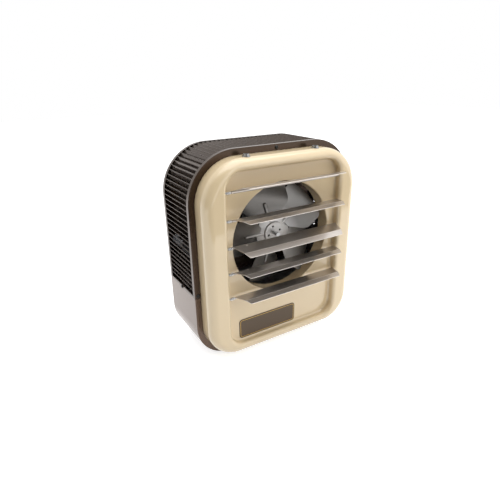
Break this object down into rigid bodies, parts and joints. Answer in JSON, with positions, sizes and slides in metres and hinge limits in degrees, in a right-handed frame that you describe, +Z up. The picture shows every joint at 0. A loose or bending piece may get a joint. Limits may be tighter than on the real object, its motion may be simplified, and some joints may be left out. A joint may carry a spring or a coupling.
{
  "type": "unit heater",
  "caption": "Suspended electric unit heater: slatted wrap casing, drawn front panel with adjustable louvers over a round outlet, axial fan and U-shaped heating elements.",
  "frame": {"origin": "centre of the casing's bottom face", "axes": "+X right seen from the front, -Y the front (air outlet), +Z up"},
  "size_m": [0.3666, 0.1937, 0.4064],
  "materials": {
    "casing_paint": "glossy dark brown enamel",
    "panel_paint": "satin cream enamel",
    "plate": "satin dark brown with a thin gilt line",
    "zinc": "zinc plated",
    "louver_metal": "bright mill finish",
    "rod_steel": "drawn steel",
    "spring_steel": "zinc plated wire",
    "fan_aluminium": "satin stamped",
    "galvanised": "galvanised",
    "motor_paint": "black enamel",
    "bearing_bronze": "sintered bronze",
    "core_steel": "laminated steel",
    "element_sheath": "brazed steel, brown",
    "control_plastic": "moulded black",
    "dark_screw": "black oxide"
  },
  "bodies": {
    "casing": {"grille_wrap": "casing_paint", "lower_cover": "casing_paint", "back_panel": "casing_paint", "front_panel": "panel_paint", "nameplate": "plate", "hanger_nuts": "zinc", "motor_posts": "zinc", "element_terminals": "zinc", "louver_springs": "spring_steel", "motor_bracket": "galvanised", "element_bracket_left": "galvanised", "element_bracket_right": "galvanised", "element_bracket_top": "galvanised", "wiring_shelf": "galvanised", "motor_shell": "motor_paint", "motor_front_bell": "motor_paint", "motor_rear_bell": "motor_paint", "motor_bearing_front": "bearing_bronze", "motor_bearing_rear": "bearing_bronze", "motor_stator": "core_steel", "control_transformer": "core_steel", "heating_element_front": "element_sheath", "heating_element_middle": "element_sheath", "heating_element_rear": "element_sheath", "contactor": "control_plastic", "terminal_block": "control_plastic", "thermal_cutout": "control_plastic", "flange_screws": "dark_screw", "cover_screws": "dark_screw", "back_screws": "dark_screw"},
    "fan": {"fan_wheel": "fan_aluminium", "fan_hub": "fan_aluminium", "hub_set_screw": "rod_steel", "motor_shaft": "rod_steel", "motor_rotor": "core_steel"},
    "louver_1": {"louver_blade_1": "louver_metal", "louver_rod_1": "rod_steel"},
    "louver_2": {"louver_blade_2": "louver_metal", "louver_rod_2": "rod_steel"},
    "louver_3": {"louver_blade_3": "louver_metal", "louver_rod_3": "rod_steel"},
    "louver_4": {"louver_blade_4": "louver_metal", "louver_rod_4": "rod_steel"},
    "louver_5": {"louver_blade_5": "louver_metal", "louver_rod_5": "rod_steel"}
  },
  "joints": [
    {"name": "fan_spin", "type": "hinge", "parent": "casing", "child": "fan", "pos_m": [0, 0, 0.233], "axis": [0, -1, 0], "continuous": true},
    {"name": "louver_1_tilt", "type": "hinge", "parent": "casing", "child": "louver_1", "pos_m": [0, -0.09183, 0.3391], "axis": [1, 0, 0], "range_deg": [-39, 81]},
    {"name": "louver_2_tilt", "type": "hinge", "parent": "casing", "child": "louver_2", "pos_m": [0, -0.09183, 0.2883], "axis": [1, 0, 0], "range_deg": [-53.5, 66.5]},
    {"name": "louver_3_tilt", "type": "hinge", "parent": "casing", "child": "louver_3", "pos_m": [0, -0.09183, 0.2375], "axis": [1, 0, 0], "range_deg": [-68.5, 51.5]},
    {"name": "louver_4_tilt", "type": "hinge", "parent": "casing", "child": "louver_4", "pos_m": [0, -0.09183, 0.1867], "axis": [1, 0, 0], "range_deg": [-52, 68]},
    {"name": "louver_5_tilt", "type": "hinge", "parent": "casing", "child": "louver_5", "pos_m": [0, -0.09183, 0.1359], "axis": [1, 0, 0], "range_deg": [-53, 67]}
  ]
}
